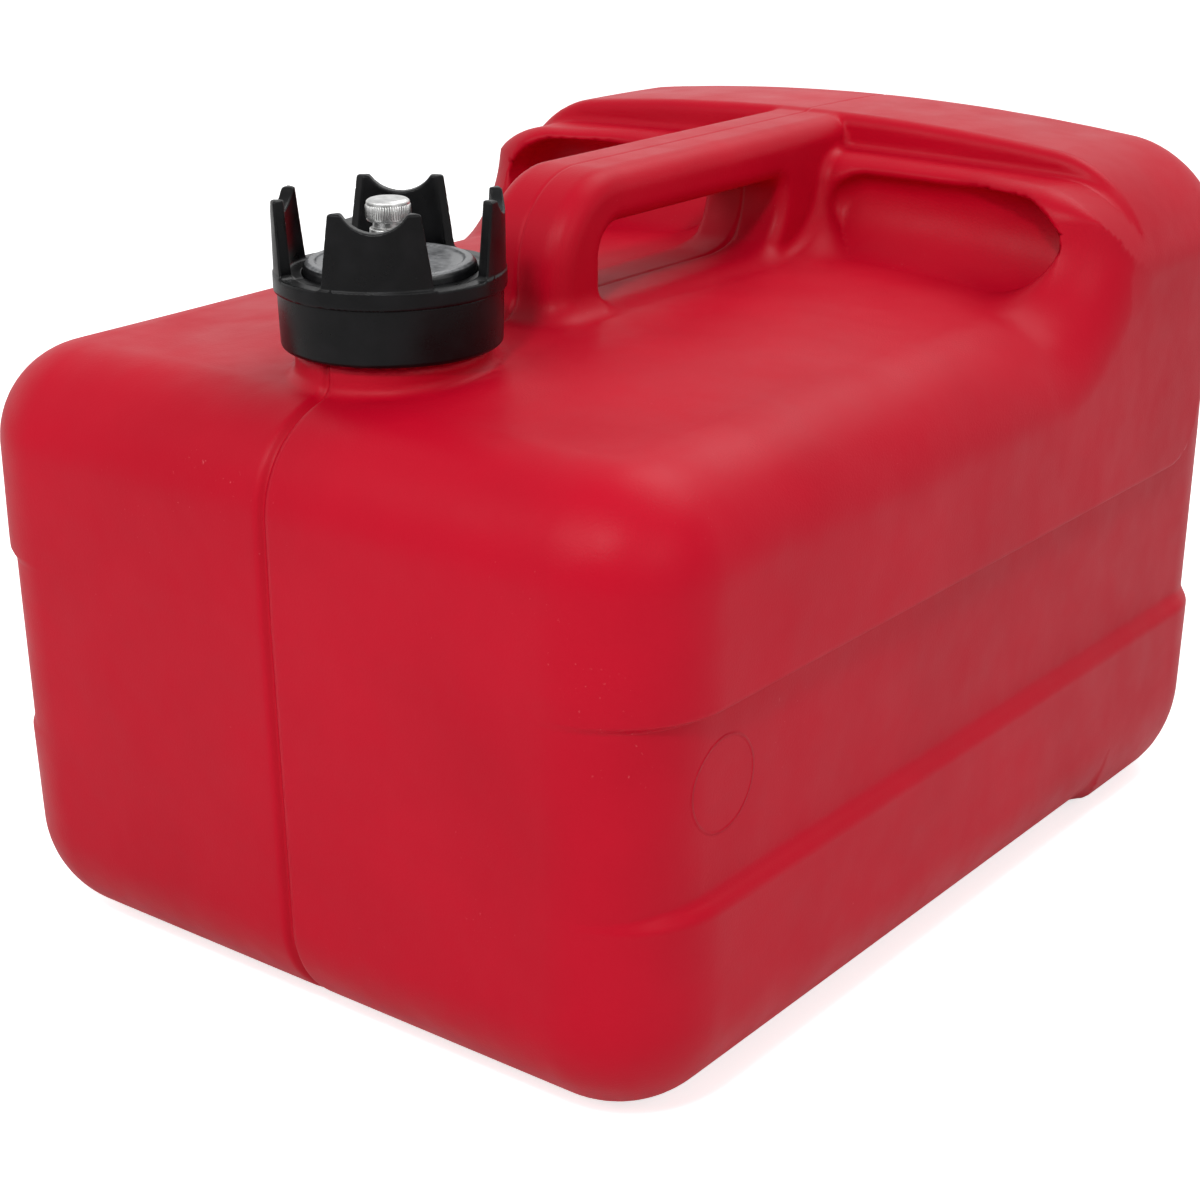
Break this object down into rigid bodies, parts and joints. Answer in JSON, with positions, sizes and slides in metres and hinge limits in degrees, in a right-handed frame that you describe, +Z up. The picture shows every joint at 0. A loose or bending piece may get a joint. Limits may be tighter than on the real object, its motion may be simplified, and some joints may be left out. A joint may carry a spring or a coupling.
{
  "type": "outboard fuel tank",
  "caption": "Portable moulded fuel tank with a carrying handle, a castle-shaped filler cap with a vent screw, and a deck pickup with a hose barb.",
  "frame": {"origin": "on the ground under the middle of the tank", "axes": "+X across the tank, +Y along it from the filler end to the raised block, +Z up"},
  "size_m": [0.24, 0.322, 0.2193],
  "materials": {
    "tank_plastic": "satin blow-moulded polyethylene, red",
    "cap_plastic": "semi-gloss moulded plastic, black",
    "hub_plastic": "worn moulded plastic, dark grey",
    "turned_metal": "turned and knurled, bright",
    "seal_rubber": "moulded seal",
    "screw_steel": "stainless",
    "brass": "turned",
    "natural_plastic": "natural moulded plastic",
    "mesh_steel": "fine woven mesh"
  },
  "bodies": {
    "tank": {"tank_shell": "tank_plastic", "outlet_flange": "cap_plastic", "outlet_gasket": "seal_rubber", "outlet_screws": "screw_steel", "outlet_inserts": "brass", "pickup_tube": "natural_plastic", "strainer_frame": "natural_plastic", "strainer_mesh": "mesh_steel", "hose_connector": "brass", "connector_ring": "seal_rubber"},
    "gasket": {"cap_gasket": "seal_rubber"},
    "cap": {"cap_closure": "cap_plastic", "cap_grip": "cap_plastic", "cap_hub": "hub_plastic", "vent_seat": "turned_metal", "vent_nut": "turned_metal"},
    "vent_lift": {"vent_ring": "seal_rubber", "vent_clip": "turned_metal"},
    "vent_knob": {"vent_screw": "turned_metal"}
  },
  "joints": [
    {"name": "cap_lift", "type": "slide", "parent": "tank", "child": "gasket", "axis": [0, 0, 1], "range_m": [0, 0.011]},
    {"name": "cap_turn", "type": "hinge", "parent": "gasket", "child": "cap", "pos_m": [0, -0.11, 0.188], "axis": [0, 0, 1], "range_deg": [0, 660]},
    {"name": "vent_rise", "type": "slide", "parent": "cap", "child": "vent_lift", "axis": [0, 0, 1], "range_m": [0, 0.0025]},
    {"name": "vent_turn", "type": "hinge", "parent": "vent_lift", "child": "vent_knob", "pos_m": [0, -0.11, 0.2], "axis": [0, 0, 1], "range_deg": [0, 720]}
  ],
  "couplings": [
    {"joint": "cap_lift", "follows": "cap_turn", "m_per_rad": 0.00095},
    {"joint": "vent_rise", "follows": "vent_turn", "m_per_rad": 0.000198}
  ]
}
